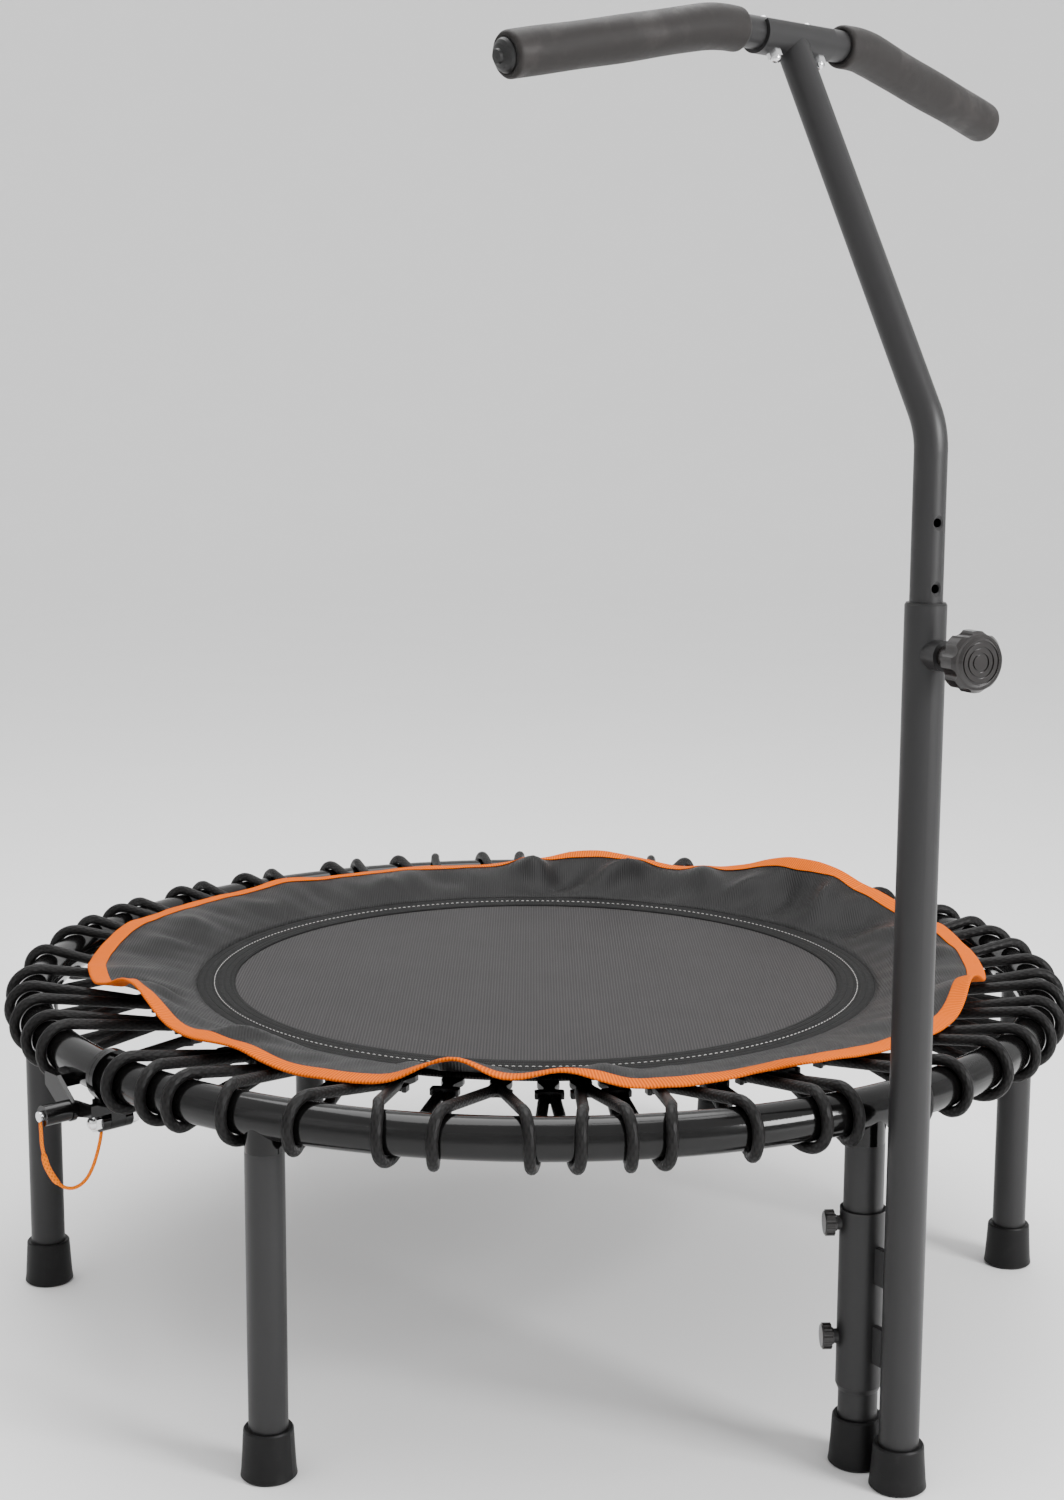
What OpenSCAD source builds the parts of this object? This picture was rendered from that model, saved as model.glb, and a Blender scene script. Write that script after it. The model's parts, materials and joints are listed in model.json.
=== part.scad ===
// Folding fitness trampoline with a T-bar handle. Millimetres, +Z up.
// The origin is on the floor, at the middle of the whole object's footprint.
// The handle's leg stands on the -Y side. The frame folds about a line near X, turned a little so
// that the legs of its two halves pass each other.

/* [Frame] */
// Outer diameter of the round frame
frame_d = 1020; // [1000:10:1100]
// Diameter of the frame tube
frame_tube_d = 36; // [34:1:38]
// Wall of the frame tube
frame_wall = 2; // [1.5:0.25:3]
// Height of the frame tube's centre above the floor
frame_h = 309; // [295:1:330]

/* [Legs] */
// Diameter of the leg tubes
leg_d = 33.2; // [32:0.2:34]
// Wall of the leg tubes
leg_wall = 1.5; // [1.2:0.1:2]
// Height of the joint where a leg screws into its socket
leg_joint_h = 281; // [276:1:284]
// Diameter of a rubber foot at the floor
foot_d = 47.5; // [46:0.5:49]
// Height of the rubber foot of a leg
foot_h = 43; // [38:1:50]

/* [Hinge and lock] */
// Turn of the fold line from the X axis
fold_turn = 9; // [8:0.5:10]
// Depth of the fold pivot below the frame tube's centre
pivot_drop = 38; // [37:0.5:39]
// Diameter of the hinge bolt
pivot_d = 10; // [8:1:10]
// Diameter of the lock pin
lock_pin_d = 8; // [7:0.5:8]
// Outer diameter of the lock barrel
barrel_d = 18; // [17:1:20]

/* [Mat and skirt] */
// Radius of the jumping mat, to the ends of its sewn loops
mat_r = 352; // [340:1:356]
// Inner radius of the stitched band
band_r = 299; // [280:1:310]
// Radius where the loose skirt is sewn to the mat
skirt_in_r = 337; // [330:1:339]
// Outer radius of the skirt
skirt_out_r = 450; // [430:1:455]
// Diameter of the elastic cord
cord_d = 10; // [8:0.5:10]

/* [Handle post] */
// Diameter of the upright tube
post_d = 33; // [32:0.5:34]
// Height of the upright tube's top
post_top = 727.5; // [700:0.5:760]
// Distance from the leg's axis to the upright's axis
post_gap = 51; // [50:0.5:56]
// Height of the height knob
knob_h = 690; // [660:1:695]
// Turn of the height knob about the upright
knob_turn = -8; // [-15:1:15]

/* [Handle] */
// Diameter of the sliding stem
stem_d = 26; // [25:0.5:27]
// Turn of the stem about the upright, as it is set
stem_turn = 9; // [-15:1:15]
// Height where the stem bends
bend_h = 861.5; // [850:0.5:900]
// Slant of the upper stem from the vertical
stem_slant = 26.6; // [20:0.1:32]
// Length of the stem above its bend, to the handlebar's axis
slant_len = 341; // [300:1:380]
// Diameter of the handlebar tube
bar_d = 25.4; // [25:0.1:26]
// Half the length of the handlebar's straight middle
bar_half = 88; // [80:1:100]
// Length of a handlebar arm beyond its bend
arm_len = 200.5; // [180:0.5:220]
// Bend of each handlebar arm
arm_bend = 12.8; // [8:0.2:18]
// Roll of the handlebar in its saddle, from level
bar_roll = 25.4; // [0:0.2:40]
// Outer diameter of the foam grips
grip_d = 35; // [33:0.5:38]

/* [Hidden] */
$fn = 64;

frame_color = [0.05, 0.05, 0.055];
leg_color = [0.26, 0.26, 0.27];
rubber_color = [0.10, 0.10, 0.10];
foam_color = [0.16, 0.15, 0.15];
mat_color = [0.28, 0.27, 0.28];
skirt_color = [0.20, 0.20, 0.20];
orange_color = [1.0, 0.45, 0.05];
chrome_color = [0.80, 0.80, 0.82];

// Frame
tube_r = frame_tube_d / 2;
ring_r = frame_d / 2 - tube_r;
fold_gap = 0.3;
flange_t = 5;
flange_r = tube_r + 5;
fit_gap = 0.05;
joint_step = 0.05;

// Elastic cord: its wraps round the frame tube and its hooks on the mat
cord_r = cord_d / 2;
strand_r = cord_r - 0.8;
wrap_r = tube_r + cord_r + 0.3;
hook_in = mat_r;
hook_out = mat_r + 34;
hook_half = 9;
hook_t = 6;
hook_z = 1.5;
strand_end = hook_out - 2;
end_hook = 2;
end_gap = 3;
pair_half = 0.9;

// Where the cord goes round the frame tube, as angles from the fold line, clear of the legs
front_wraps = [
  3, 8, 11.5, 18, 25, 33.5, 38.5, 47, 51.5, 56, 59.5, 67.5, 74.5, 78, 86.5,
  92.5, 100, 107, 113, 119, 125, 131, 136.5, 145.5, 151, 157, 163, 169, 175
];
back_wraps = [
  9, 14.5, 26, 31.5, 37.5, 43, 49.5, 55.5, 61.5, 67.5, 73, 77.5, 86, 91,
  97.5, 102, 109.5, 114, 120, 126.5, 135, 146, 152, 158.5, 164.5, 169.5
];

// Legs, as angles from the handle's leg
leg_angles = [-60, 0, 60];
leg_r = leg_d / 2;
socket_h = frame_h - leg_joint_h;
stud_r = 6;
plug_h = 12;
sole_t = 5;

// Handle post
post_r = ring_r + post_gap;
post_tube_r = post_d / 2;
post_wall = 1.5;
sleeve_r = leg_r + 2.6;
sleeve_low = 66;
sleeve_high = 224;
web_spans = [[95, 127], [164, 195]];
web_t = 6;
screw_heights = [112, 211];
screw_dir = -120;
screw_r = 3;
screw_boss_end = 5.5;
post_foot_h = foot_h - 5;

// Height knob and its screw, measured from the upright's axis
boss_r = 12;
boss_end = 28;
height_screw_r = 4;
knob_face = 72;
knob_face_r = 17;
knob_rim_r = 23.5;
knob_rim_low = knob_face - 18;
knob_rim_high = knob_face - 5;

// Lock, hinge and pivot, measured from the frame tube's centre at the hinge
lug_r = 9;
lug_mid = 7;
lug_out = 15;
lock_v = 18;
lock_w = -28;
ear_in = 24.5;
ear_t = 4;
bracket_in = ear_in + ear_t + 0.4;
barrel_in = bracket_in + 4;
barrel_out = barrel_in + 25;
pin_tip = bracket_in + 0.3;
barrel_end = 3;
barrel_bore_r = 6.2;
pin_travel = 7;
rod_r = 3;
pull_u = barrel_out + 4;
pull_head_r = 4.5;

// Stem and handlebar
stem_r = stem_d / 2;
stem_wall = 1.5;
stem_low = 500;
stem_bend_r = 70;
hole_pitch = 50.5;
hole_r = 3.6;
bar_r = bar_d / 2;
bar_wall = 1.5;
grip_start = 61;
saddle_half = 40;
saddle_r = bar_r + 3;
saddle_bolt_x = 26;
saddle_bolt_r = 3;
saddle_bolt_low = -23;

// The footprint runs from the knob's face to the cord at the back, and between the lock pins' heads
front_reach = post_r + knob_face * cos(knob_turn) + knob_face_r * abs(sin(knob_turn));
back_reach = (ring_r + wrap_r) * max([for (a = back_wraps) sin(a + fold_turn)]) + cord_r;
ring_y = (front_reach - back_reach) / 2;
ring_x = lock_v * sin(fold_turn);
far = 2 * frame_d;

// Lanyard: from the lock pin's pull end, down in a loop, and up to the hinge lug
lanyard_r = 1.5;
lanyard_sides = 8;
lanyard_points = [
  [60, 18, -32.5], [60, 18, -38], [60, 17.5, -44], [60, 17, -52], [59, 16, -61], [57.5, 15, -70],
  [54.5, 13.5, -78], [50, 12, -86], [44, 10.5, -92], [37, 9, -94.5], [30, 7.5, -93], [24, 6, -88],
  [19.5, 4.5, -80], [16.5, 3, -71], [14.5, 1.5, -62], [13, 0.5, -54], [12, 0, -47.2]
];

// Puts its children at the middle of the frame, at the frame tube's height
module at_frame() {
  translate([ring_x, ring_y, frame_h]) children();
}

// Puts its children at the same place, turned so that +X lies along the fold line
module at_fold() {
  at_frame() rotate([0, 0, fold_turn]) children();
}

// Puts its children on the frame tube, at an angle from the handle's leg; -Y points outward
module on_ring(angle) {
  rotate([0, 0, angle]) translate([0, -ring_r, 0]) children();
}

// Keeps the part of its children behind the fold line, past the given distance
module behind_fold(clear) {
  intersection() {
    children();
    translate([-far / 2, clear, -far / 2]) cube([far, far / 2, far]);
  }
}

// A round bar from one point to another
module rod(from, to, r) {
  run = to - from;
  len = norm(run);
  translate(from)
    rotate([0, acos(run[2] / len), atan2(run[1], run[0])])
      cylinder(h = len, r = r);
}

// The full round frame as a solid ring of the given tube radius
module ring_solid(r) {
  rotate_extrude() translate([ring_r, 0]) circle(r = r);
}

// Half of the frame, on the +Y side
module half_ring() {
  behind_fold(flange_t + fold_gap / 2)
    rotate_extrude() translate([ring_r, 0]) difference() {
      circle(r = tube_r);
      circle(r = tube_r - frame_wall);
    }
}

// A short socket under the frame tube, bored for the leg's stud
module leg_socket() {
  difference() {
    translate([0, 0, -socket_h]) cylinder(h = socket_h, r = leg_r);
    translate([0, 0, -socket_h - 1]) cylinder(h = socket_h, r = stud_r + fit_gap);
    translate([0, ring_r, 0]) ring_solid(tube_r);
  }
}

// A leg tube from its foot to its socket
module leg_tube() {
  translate([0, 0, sole_t - frame_h]) difference() {
    cylinder(h = leg_joint_h - sole_t, r = leg_r);
    translate([0, 0, -1]) cylinder(h = leg_joint_h, r = leg_r - leg_wall);
  }
}

// The plug in a leg's top, with the stud that screws into the socket
module leg_stud() {
  translate([0, 0, -socket_h - plug_h]) cylinder(h = plug_h, r = leg_r - leg_wall);
  translate([0, 0, -socket_h - 1]) cylinder(h = socket_h - tube_r - 1, r = stud_r);
}

// A rubber boot, standing on the floor, for a tube of the given radius
module foot(tube, h) {
  rotate_extrude() polygon([
    [0, 0], [foot_d / 2 - 2, 0], [foot_d / 2, 2], [foot_d / 2 - 0.8, 8], [tube + 4.8, h - 8],
    [tube + 4.4, h - 1.5], [tube + 3.4, h], [tube, h], [tube, sole_t], [0, sole_t]
  ]);
}

// A flat half ring of cloth on the +Y side, from its section
module half_sheet(section) {
  behind_fold(fold_gap / 2) rotate_extrude() polygon(section);
}

function box_section(r1, r2, z1, z2) = [[r1, z1], [r2, z1], [r2, z2], [r1, z2]];
mat_low = 1.5;
mat_high = 4.5;
band_high = mat_high + 1.2;
skirt_t = 2.5;
binding_w = 10;
skirt_rise = 21;
skirt_section = [
  [skirt_in_r + 0.2, mat_high], [380, 9], [skirt_out_r - binding_w, skirt_rise],
  [skirt_out_r - binding_w, skirt_rise + skirt_t], [380, 9 + skirt_t],
  [skirt_in_r + 0.2, mat_high + skirt_t]
];

module half_mat() {
  half_sheet(box_section(0, mat_r, mat_low, mat_high));
}

module half_band() {
  half_sheet(box_section(band_r, skirt_in_r, mat_high, band_high));
}

module half_skirt() {
  half_sheet(skirt_section);
}

module half_binding() {
  half_sheet(box_section(skirt_out_r - binding_w, skirt_out_r, skirt_rise, skirt_rise + skirt_t + 1));
}

// The mat's hooks: one between each two wraps, and one past each end
function hook_angles(wraps) = [
  max(end_hook, wraps[0] - end_gap),
  for (k = [1 : len(wraps) - 1]) (wraps[k - 1] + wraps[k]) / 2,
  min(180 - end_hook, wraps[len(wraps) - 1] + end_gap)
];
function polar(r, angle, z) = [r * cos(angle), r * sin(angle), z];

// One wrap of the cord round the frame tube, with its upper and lower strands.
// A strand starts just inside the wrap's end, where it is a little thinner.
module bungee_wrap(angle, upper_hook, lower_hook) {
  top_lean = 11;
  low_lean = 12;
  overlap = 2.5;
  rotate([0, 0, angle]) translate([ring_r, 0, 0]) rotate([90, 0, 0])
    rotate([0, 0, -90 - low_lean]) rotate_extrude(angle = 180 + top_lean + low_lean)
      translate([wrap_r, 0]) circle(r = cord_r);
  rod(polar(ring_r - wrap_r * sin(top_lean - overlap), angle, wrap_r * cos(top_lean - overlap)),
      polar(strand_end + cord_r + 3, upper_hook, 4.5), strand_r);
  rod(polar(ring_r - wrap_r * sin(low_lean - overlap), angle, -wrap_r * cos(low_lean - overlap)),
      polar(strand_end + cord_r + 3, lower_hook, -3.5), strand_r);
}

// The cord of one half; its strands meet above and below the hooks by turns
module half_bungees(wraps) {
  hooks = hook_angles(wraps);
  for (k = [0 : len(wraps) - 1]) {
    even = k % 2 == 0;
    side = even ? pair_half : -pair_half;
    bungee_wrap(wraps[k], hooks[even ? k + 1 : k] - side, hooks[even ? k : k + 1] + side);
  }
}

// A moulded hook from the mat's edge, open towards the frame
module mat_hook() {
  translate([0, 0, -hook_z]) linear_extrude(hook_t) difference() {
    polygon([
      [hook_in, -hook_half], [hook_in + 20, -hook_half + 3], [hook_out - 6, -hook_half],
      [hook_out, -hook_half + 4], [hook_out, hook_half - 4], [hook_out - 6, hook_half],
      [hook_in + 20, hook_half - 3], [hook_in, hook_half]
    ]);
    translate([hook_in + 11, 0]) circle(r = 4);
  }
}

module half_hooks(wraps) {
  for (angle = hook_angles(wraps)) rotate([0, 0, angle]) mat_hook();
}

// Puts its children at both hinges; +X points outward, +Y to the back half
module at_hinges() {
  translate([ring_r, 0, 0]) children();
  mirror([1, 0, 0]) translate([ring_r, 0, 0]) children();
}

// A lug of the hinge knuckle: side is 1 behind the fold line and -1 in front of it
module hinge_lug(u1, u2, side) {
  rotate([90, 0, 90]) translate([0, 0, u1]) linear_extrude(u2 - u1) {
    translate([0, -pivot_drop]) circle(r = lug_r);
    translate([side > 0 ? fold_gap / 2 : -lug_r, -pivot_drop]) square([lug_r - fold_gap / 2, 18]);
  }
}

// A flat plate across the tube's end, with a straight skirt down to the lugs
module flange_plate(side) {
  translate([0, side > 0 ? fold_gap / 2 + flange_t : -fold_gap / 2, 0])
    rotate([90, 0, 0]) linear_extrude(flange_t) {
      circle(r = flange_r);
      translate([-lug_out, lug_r - pivot_drop + 2]) square([2 * lug_out, pivot_drop - lug_r - 2]);
    }
}

module pivot_bore(r) {
  translate([-ring_r / 4, 0, -pivot_drop]) rotate([0, 90, 0]) cylinder(h = ring_r / 2, r = r);
}

module lock_bore(u1, u2, r) {
  translate([u1, lock_v, lock_w]) rotate([0, 90, 0]) cylinder(h = u2 - u1, r = r);
}

// Front flange, its middle lug, and the ear that the lock pin enters
module front_flange() {
  difference() {
    union() {
      flange_plate(-1);
      hinge_lug(-lug_mid, lug_mid, -1);
      translate([0, -12, lock_w - 1]) cube([ear_in + ear_t, 12 - flange_t, 10]);
      rotate([90, 0, 90]) translate([0, 0, ear_in]) linear_extrude(ear_t) {
        translate([lock_v, lock_w]) circle(r = 7);
        polygon([[-12, lock_w - 1], [-12, lock_w + 9], [lock_v, lock_w + 7], [lock_v, lock_w - 7]]);
      }
    }
    pivot_bore(pivot_d / 2 + fit_gap);
    lock_bore(ear_in - 1, ear_in + ear_t + 1, lock_pin_d / 2 + fit_gap);
  }
}

// Back flange with two outer lugs
module back_flange() {
  difference() {
    union() {
      flange_plate(1);
      hinge_lug(lug_mid + fold_gap, lug_out, 1);
      hinge_lug(-lug_out, -lug_mid - fold_gap, 1);
    }
    pivot_bore(pivot_d / 2 + fit_gap);
  }
}

// Web on the back half that carries the lock barrel past the ear
module lock_bracket() {
  difference() {
    union() {
      rotate([90, 0, 90]) translate([0, 0, bracket_in]) linear_extrude(barrel_in - bracket_in) {
        translate([lock_v, lock_w]) circle(r = barrel_d / 2 + 1);
        polygon([[lock_v - 8, lock_w + 6], [36, -2], [56, -2], [56, -14], [lock_v + 6, lock_w - 8]]);
      }
      translate([8, 36, -14]) cube([bracket_in - 7, 20, 12]);
    }
    lock_bore(bracket_in - 1, barrel_in + 1, lock_pin_d / 2 + fit_gap);
    translate([-ring_r, 0, 0]) ring_solid(tube_r);
  }
}

module lock_barrel() {
  difference() {
    lock_bore(barrel_in, barrel_out, barrel_d / 2);
    lock_bore(barrel_in - 1, barrel_out - barrel_end, barrel_bore_r);
    lock_bore(barrel_in, barrel_out + 1, rod_r + fit_gap);
  }
}

// A spring shown closed up, as it is with the pin pulled out
module lock_spring() {
  wire_r = 0.55;
  pitch = 1.2;
  for (k = [0 : 3])
    translate([barrel_out - barrel_end - 0.65 - k * pitch, lock_v, lock_w]) rotate([0, 90, 0])
      rotate_extrude() translate([4.9, 0]) circle(r = wire_r, $fn = 8);
}

// Lock pin with its collar, pull rod and the head that the lanyard hangs from
module lock_pin() {
  shank_end = barrel_out - barrel_end - pin_travel - 1;
  lock_bore(pin_tip, shank_end, lock_pin_d / 2);
  lock_bore(barrel_in + 7, barrel_in + 10, barrel_bore_r - 0.3);
  lock_bore(shank_end - 1, pull_u, rod_r);
  lock_bore(pull_u - 3.5, pull_u, pull_head_r);
}

module hinge_bolt() {
  translate([-lug_out - 6, 0, -pivot_drop]) rotate([0, 90, 0]) {
    cylinder(h = 6, r = 8.5, $fn = 6);
    cylinder(h = 2 * lug_out + 11, r = pivot_d / 2);
  }
}

// Dome nut on the hinge bolt's outer end
module hinge_nut() {
  translate([lug_out, 0, -pivot_drop]) rotate([0, 90, 0]) difference() {
    union() {
      cylinder(h = 5.5, r = 8.2, $fn = 6);
      translate([0, 0, 4]) sphere(r = 6.4);
    }
    translate([0, 0, -10]) cylinder(h = 15.1, r = pivot_d / 2 + fit_gap);
    translate([0, 0, -10]) cylinder(h = 10, r = 20);
  }
}

// Puts its children on the handle's leg
module at_handle_leg() {
  translate([ring_x, ring_y - ring_r, 0]) children();
}

// Puts its children on the upright's axis, at the floor
module at_post() {
  translate([ring_x, ring_y - post_r, 0]) children();
}

// Clamp sleeve round the leg, drawn in at its lower end
module sleeve_shape() {
  difference() {
    rotate_extrude() polygon([
      [leg_r + fit_gap, sleeve_low], [sleeve_r - 2, sleeve_low], [sleeve_r, sleeve_low + 5],
      [sleeve_r, sleeve_high], [leg_r + 1, sleeve_high], [leg_r + fit_gap, sleeve_high - 2]
    ]);
    for (h = screw_heights) screw_axis(h) cylinder(h = 40, r = screw_r + fit_gap);
  }
}

// Puts its children on a sleeve screw's axis, with +Z outward from the leg's axis
module screw_axis(h) {
  rotate([0, 0, screw_dir]) translate([0, 0, h]) rotate([90, 0, 0]) children();
}

module screw_boss() {
  difference() {
    translate([0, 0, leg_r + 1]) cylinder(h = screw_boss_end - 1, r = 6);
    cylinder(h = 40, r = screw_r + fit_gap);
  }
}

// A small thumb screw with a knurled head
module sleeve_knob(h) {
  screw_axis(h) {
    translate([0, 0, leg_r + 0.4]) cylinder(h = 12, r = screw_r);
    translate([0, 0, leg_r + screw_boss_end + 0.3]) difference() {
      union() {
        cylinder(h = 3, r = 7);
        translate([0, 0, 2]) cylinder(h = 7, r = 11);
        translate([0, 0, 9]) cylinder(h = 1.2, r1 = 11, r2 = 9.4);
      }
      for (k = [0 : 15]) rotate([0, 0, k * 22.5]) translate([11.9, 0, -1]) cylinder(h = 14, r = 1.5);
    }
  }
}

// Lobed knob with shallow rings on its face; +Z is outward
module knob_shape() {
  lobes = 8;
  difference() {
    union() {
      translate([0, 0, boss_end + 0.4]) cylinder(h = knob_rim_low - boss_end, r = 9);
      translate([0, 0, knob_rim_low - 3]) cylinder(h = 3, r1 = 17, r2 = knob_rim_r - 2);
      translate([0, 0, knob_rim_low]) cylinder(h = knob_rim_high - knob_rim_low, r = knob_rim_r);
      translate([0, 0, knob_rim_high]) cylinder(h = 3, r1 = knob_rim_r, r2 = knob_rim_r - 2.5);
      translate([0, 0, knob_rim_high + 3])
        cylinder(h = knob_face - knob_rim_high - 3, r1 = knob_face_r + 2, r2 = knob_face_r);
    }
    for (k = [0 : lobes - 1]) rotate([0, 0, (k + 0.5) * 360 / lobes])
      translate([knob_rim_r + 7, 0, knob_rim_low - 6]) cylinder(h = 30, r = 9);
    for (r = [6, 10.5, 15]) translate([0, 0, knob_face - 0.8]) rotate_extrude()
      translate([r, 0]) square([1.6, 2]);
    cylinder(h = knob_face - 13, r = height_screw_r);
  }
}

module knob_axis() {
  at_post() rotate([0, 0, knob_turn]) translate([0, 0, knob_h]) rotate([90, 0, 0]) children();
}

// Puts its children in the stem's frame, turned as the stem is set; +Y points inward
module in_stem() {
  at_post() rotate([0, 0, stem_turn]) children();
}

// The stem's outline as a solid of the given radius; its bend is a hair wider than its straight runs
module stem_solid(r, low, top) {
  trim = stem_bend_r * tan(stem_slant / 2);
  translate([0, 0, low]) cylinder(h = bend_h - trim + 1 - low, r = r);
  translate([0, stem_bend_r, bend_h - trim]) rotate([90, 0, -90])
    rotate_extrude(angle = stem_slant) translate([stem_bend_r, 0]) circle(r = r + joint_step);
  translate([0, 0, bend_h]) rotate([-stem_slant, 0, 0])
    translate([0, 0, trim - 1]) cylinder(h = top - trim + 1, r = r);
}

// Puts its children at the handlebar's middle: +X along the bar, +Z along the upper stem
module at_saddle() {
  in_stem() translate([0, 0, bend_h]) rotate([-stem_slant, 0, 0]) translate([0, 0, slant_len]) children();
}

// Puts its children at the same place with the bar's own roll; its arms bend towards -Z
module at_bar() {
  at_saddle() rotate([stem_slant + bar_roll, 0, 0]) children();
}

module along_x(from, to, r) {
  translate([from, 0, 0]) rotate([0, 90, 0]) cylinder(h = to - from, r = r);
}

// One side of the handlebar's outline, from a place on its middle to past its end.
// A ball just wider than the bar closes the bend.
module bar_side(r, from, extra) {
  along_x(from, bar_half, r);
  translate([bar_half, 0, 0]) sphere(r = r / cos(arm_bend / 2) + joint_step);
  translate([bar_half, 0, 0]) rotate([0, arm_bend, 0]) along_x(0, arm_len + extra, r);
}

module bar_solid(r, extra) {
  bar_side(r, 0, extra);
  mirror([1, 0, 0]) bar_side(r, 0, extra);
}

module grip_side() {
  difference() {
    bar_side(grip_d / 2, grip_start, 0);
    bar_side(bar_r + fit_gap, grip_start - 1, 1);
  }
}

// Domed plug in the bar's end
module plug_side() {
  translate([bar_half, 0, 0]) rotate([0, arm_bend, 0]) translate([arm_len, 0, 0]) rotate([0, 90, 0])
    rotate_extrude() polygon([
      [0, -14], [bar_r - bar_wall, -14], [bar_r - bar_wall, 0], [bar_r, 0], [bar_r, 1.2],
      [11.4, 3.4], [8.8, 5.4], [5.6, 6.6], [5, 8.6], [0, 9]
    ]);
}

module saddle_bolt_axes() {
  for (x = [-saddle_bolt_x, saddle_bolt_x]) translate([x, 0, 0]) children();
}

// Cord tube swept along a route: each ring is set square to the route at its point
function unit(v) = v / norm(v);
function route_dir(p, k) = unit(p[min(k + 1, len(p) - 1)] - p[max(k - 1, 0)]);
function route_ring(p, k, r, n) =
  let (d = route_dir(p, k), side = unit(cross([0.05, 1, 0.02], d)), up = cross(d, side))
  [for (j = [0 : n - 1]) p[k] + r * (cos(360 * j / n) * side + sin(360 * j / n) * up)];

module cord_tube(p, r, n) {
  rings = len(p);
  points = [for (k = [0 : rings - 1]) each route_ring(p, k, r, n)];
  walls = [
    for (k = [0 : rings - 2]) for (j = [0 : n - 1])
      [k * n + j, k * n + (j + 1) % n, (k + 1) * n + (j + 1) % n, (k + 1) * n + j]
  ];
  first = [for (j = [n - 1 : -1 : 0]) j];
  last = [for (j = [0 : n - 1]) (rings - 1) * n + j];
  polyhedron(points, concat([first], walls, [last]));
}

module lanyard() {
  cord_tube(lanyard_points, lanyard_r, lanyard_sides);
}

// Turns a shape of the back half round to the front half
module to_front() {
  rotate([0, 0, 180]) children();
}

module front_half_ring() {
  color(frame_color) at_fold() to_front() half_ring();
}
module front_hinge_flanges() {
  color(frame_color) at_fold() at_hinges() front_flange();
}
module front_leg_sockets() {
  color(frame_color) at_frame() for (a = leg_angles) on_ring(a) leg_socket();
}
module front_leg_studs() {
  color(chrome_color) at_frame() for (a = leg_angles) on_ring(a) leg_stud();
}
module left_front_leg() {
  color(leg_color) at_frame() on_ring(leg_angles[0]) leg_tube();
}
module handle_leg() {
  color(leg_color) at_frame() on_ring(leg_angles[1]) leg_tube();
}
module right_front_leg() {
  color(leg_color) at_frame() on_ring(leg_angles[2]) leg_tube();
}
module front_feet() {
  color(rubber_color) at_frame() for (a = leg_angles) on_ring(a)
    translate([0, 0, -frame_h]) foot(leg_r, foot_h);
}
module front_mat() {
  color(mat_color) at_fold() to_front() half_mat();
}
module front_mat_band() {
  color(skirt_color) at_fold() to_front() half_band();
}
module front_skirt() {
  color(skirt_color) at_fold() to_front() half_skirt();
}
module front_binding() {
  color(orange_color) at_fold() to_front() half_binding();
}
module front_bungees() {
  color(rubber_color) at_fold() to_front() half_bungees(front_wraps);
}
module front_mat_hooks() {
  color(rubber_color) at_fold() to_front() half_hooks(front_wraps);
}
module post_sleeve() {
  color(leg_color) at_handle_leg() sleeve_shape();
}
module post_webs() {
  color(leg_color) at_handle_leg() for (span = web_spans) difference() {
    translate([-web_t / 2, -post_gap, span[0]]) cube([web_t, post_gap, span[1] - span[0]]);
    cylinder(h = post_top, r = sleeve_r);
    translate([0, -post_gap, 0]) cylinder(h = post_top, r = post_tube_r);
  }
}
module post_tube() {
  color(leg_color) difference() {
    at_post() translate([0, 0, sole_t]) cylinder(h = post_top - sole_t, r = post_tube_r);
    at_post() cylinder(h = post_top + 1, r = post_tube_r - post_wall);
    knob_axis() cylinder(h = 40, r = height_screw_r + 2 * fit_gap);
  }
}
module post_foot() {
  color(rubber_color) at_post() foot(post_tube_r, post_foot_h);
}
module post_bush() {
  color(rubber_color) at_post() difference() {
    union() {
      translate([0, 0, post_top - 24]) cylinder(h = 24, r = post_tube_r - post_wall);
      translate([0, 0, post_top]) cylinder(h = 2, r1 = post_tube_r, r2 = post_tube_r - 1.2);
    }
    cylinder(h = post_top + 10, r = stem_r + fit_gap);
  }
}
module knob_boss() {
  color(leg_color) difference() {
    knob_axis() cylinder(h = boss_end, r = boss_r);
    knob_axis() cylinder(h = 40, r = height_screw_r + fit_gap);
    at_post() cylinder(h = post_top, r = post_tube_r);
  }
}
module screw_bosses() {
  color(leg_color) at_handle_leg() difference() {
    for (h = screw_heights) screw_axis(h) screw_boss();
    cylinder(h = sleeve_high, r = sleeve_r);
  }
}
module height_knob() {
  color(rubber_color) knob_axis() knob_shape();
}
module height_screw() {
  color(chrome_color) knob_axis() translate([0, 0, stem_r + 0.4])
    cylinder(h = knob_face - 14 - stem_r, r = height_screw_r);
}
module upper_sleeve_knob() {
  color(rubber_color) at_handle_leg() sleeve_knob(screw_heights[1]);
}
module lower_sleeve_knob() {
  color(rubber_color) at_handle_leg() sleeve_knob(screw_heights[0]);
}
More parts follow.
